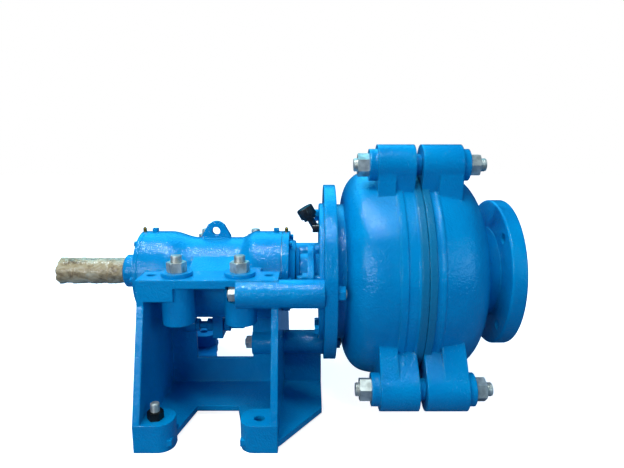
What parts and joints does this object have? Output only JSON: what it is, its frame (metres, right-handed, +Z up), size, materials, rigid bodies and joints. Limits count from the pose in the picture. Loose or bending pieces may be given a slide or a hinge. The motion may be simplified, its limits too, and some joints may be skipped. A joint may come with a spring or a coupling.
{
  "type": "slurry pump",
  "caption": "Horizontal lined centrifugal slurry pump with split casing, bearing cartridge in an open cast frame, gland seal and bare shaft end.",
  "frame": {"origin": "on the ground at the centre of the foot-bolt pattern, under the shaft", "axes": "+X along the shaft towards the intake flange, +Z up, +Y towards the discharge side"},
  "size_m": [0.8696, 0.502, 0.5022],
  "materials": {
    "enamel": "glossy azure enamel over cast iron",
    "zinc": "dull zinc-plated steel",
    "dark_steel": "blackened steel nut",
    "machined_steel": "turned steel",
    "sleeve_steel": "ground stainless sleeve",
    "bearing_steel": "ground bearing steel",
    "white_iron": "as-cast high-chrome iron",
    "brass": "turned brass",
    "rubber": "moulded black rubber",
    "packing": "braided packing",
    "wrap": "greased paper under clear film",
    "cap": "knurled black plastic",
    "stub": "plain grey steel"
  },
  "bodies": {
    "frame": {"base_frame": "enamel", "clamp_washers": "enamel", "frame_plate_nuts": "enamel", "seal_housing": "enamel", "seal_housing_screws": "enamel", "frame_plate": "enamel", "cover_plate": "enamel", "clamp_bolts": "zinc", "clamp_nuts": "zinc", "frame_plate_studs": "zinc", "strut_nuts": "zinc", "foot_stud": "zinc", "casing_bolts": "zinc", "casing_nuts": "zinc", "gland_studs": "zinc", "foot_nut": "dark_steel", "adjusting_screw": "dark_steel", "screw_locknut": "dark_steel", "volute_liner": "white_iron", "frame_plate_liner": "white_iron", "throatbush": "white_iron", "lantern_ring": "brass", "intake_joint_ring": "rubber", "discharge_joint_ring": "rubber", "packing_rings": "packing", "grease_cup_body": "stub"},
    "housing": {"bearing_housing": "enamel", "drive_end_cover": "enamel", "pump_end_cover": "enamel", "cover_shims": "machined_steel", "cover_screws": "enamel", "grease_nipples": "brass", "housing_plugs": "enamel", "drive_outer_race": "bearing_steel", "pump_outer_race": "bearing_steel"},
    "shaft": {"pump_shaft": "machined_steel", "shaft_key": "machined_steel", "shaft_wrap": "wrap", "shaft_sleeve": "sleeve_steel", "drive_labyrinth": "machined_steel", "pump_labyrinth": "machined_steel", "drive_inner_race": "bearing_steel", "pump_inner_race": "bearing_steel", "expeller": "white_iron", "impeller": "white_iron"},
    "drive_roller_train": {"drive_rollers": "bearing_steel", "drive_cage": "bearing_steel"},
    "pump_roller_train": {"pump_rollers": "bearing_steel", "pump_cage": "bearing_steel"},
    "adjusting_nut_pair": {"adjusting_nuts": "dark_steel"},
    "gland_follower": {"gland": "enamel", "gland_nuts": "enamel"},
    "grease_cap": {"grease_cup_cap": "cap"}
  },
  "joints": [
    {"name": "housing_adjust", "type": "slide", "parent": "frame", "child": "housing", "axis": [1, 0, 0], "range_m": [-0.0015, 0.0015]},
    {"name": "shaft_spin", "type": "hinge", "parent": "housing", "child": "shaft", "pos_m": [0, 0, 0.254], "axis": [1, 0, 0], "continuous": true},
    {"name": "drive_rollers_spin", "type": "hinge", "parent": "housing", "child": "drive_roller_train", "pos_m": [-0.115, 0, 0.254], "axis": [1, 0, 0], "continuous": true},
    {"name": "pump_rollers_spin", "type": "hinge", "parent": "housing", "child": "pump_roller_train", "pos_m": [0.085, 0, 0.254], "axis": [1, 0, 0], "continuous": true},
    {"name": "adjusting_nuts_turn", "type": "hinge", "parent": "housing", "child": "adjusting_nut_pair", "pos_m": [0, 0, 0.141], "axis": [1, 0, 0], "range_deg": [-272, 272]},
    {"name": "gland_slide", "type": "slide", "parent": "frame", "child": "gland_follower", "axis": [1, 0, 0], "range_m": [-0.006, 0]},
    {"name": "grease_cap_press", "type": "slide", "parent": "frame", "child": "grease_cap", "axis": [-0.5, 0, 0.866], "range_m": [-0.005, 0]}
  ],
  "couplings": [
    {"joint": "drive_rollers_spin", "follows": "shaft_spin", "ratio": 0.4464},
    {"joint": "pump_rollers_spin", "follows": "shaft_spin", "ratio": 0.4464},
    {"joint": "adjusting_nuts_turn", "follows": "housing_adjust", "rad_per_m": 3141.6}
  ]
}
